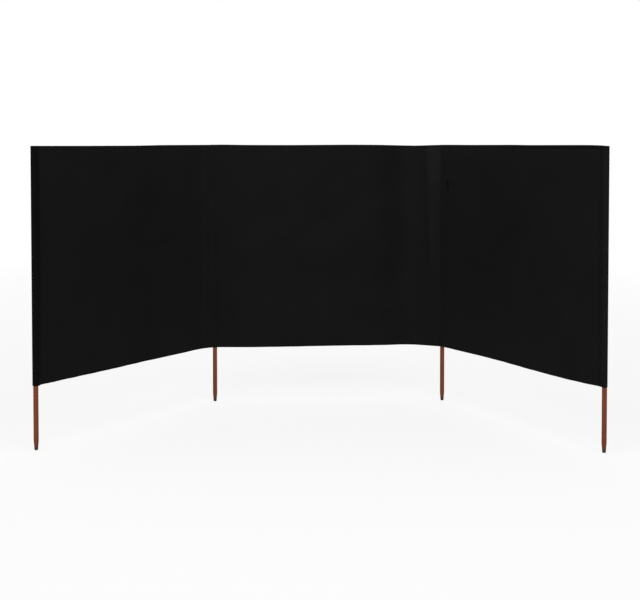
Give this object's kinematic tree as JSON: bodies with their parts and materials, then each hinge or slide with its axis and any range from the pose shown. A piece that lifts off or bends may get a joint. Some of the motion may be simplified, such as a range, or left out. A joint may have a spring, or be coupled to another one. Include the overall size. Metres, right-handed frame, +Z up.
{
  "type": "beach windbreak",
  "caption": "Folding cloth windbreak on wooden poles with tapered feet; the outer bays are folded to the front.",
  "frame": {"origin": "centre of the flat foot of the left inner pole, the lowest point of the part", "axes": "+Z up along the poles, +X from the left inner pole to the right inner pole, +Y to the back; the outer bays fold towards -Y"},
  "size_m": [2.8333, 1.3025, 1.502],
  "materials": {
    "pole_wood": "stained, satin",
    "cloth": "matt"
  },
  "bodies": {
    "middle_bay": {"left_inner_pole": "pole_wood", "left_inner_sleeve": "cloth", "left_inner_closure": "cloth", "middle_panel": "cloth", "middle_top_hem": "cloth", "middle_bottom_hem": "cloth", "right_inner_pole": "pole_wood", "right_inner_sleeve": "cloth", "right_inner_closure": "cloth"},
    "left_bay": {"left_end_pole": "pole_wood", "left_end_sleeve": "cloth", "left_end_closure": "cloth", "left_panel": "cloth", "left_top_hem": "cloth", "left_bottom_hem": "cloth"},
    "right_bay": {"right_end_pole": "pole_wood", "right_end_sleeve": "cloth", "right_end_closure": "cloth", "right_panel": "cloth", "right_top_hem": "cloth", "right_bottom_hem": "cloth"}
  },
  "joints": [
    {"name": "left_fold", "type": "hinge", "parent": "middle_bay", "child": "left_bay", "pos_m": [0, 0, 0], "axis": [0, 0, 1], "range_deg": [-143.4, 36.6]},
    {"name": "right_fold", "type": "hinge", "parent": "middle_bay", "child": "right_bay", "pos_m": [1.334, 0, 0], "axis": [0, 0, -1], "range_deg": [-151.1, 28.9]}
  ]
}
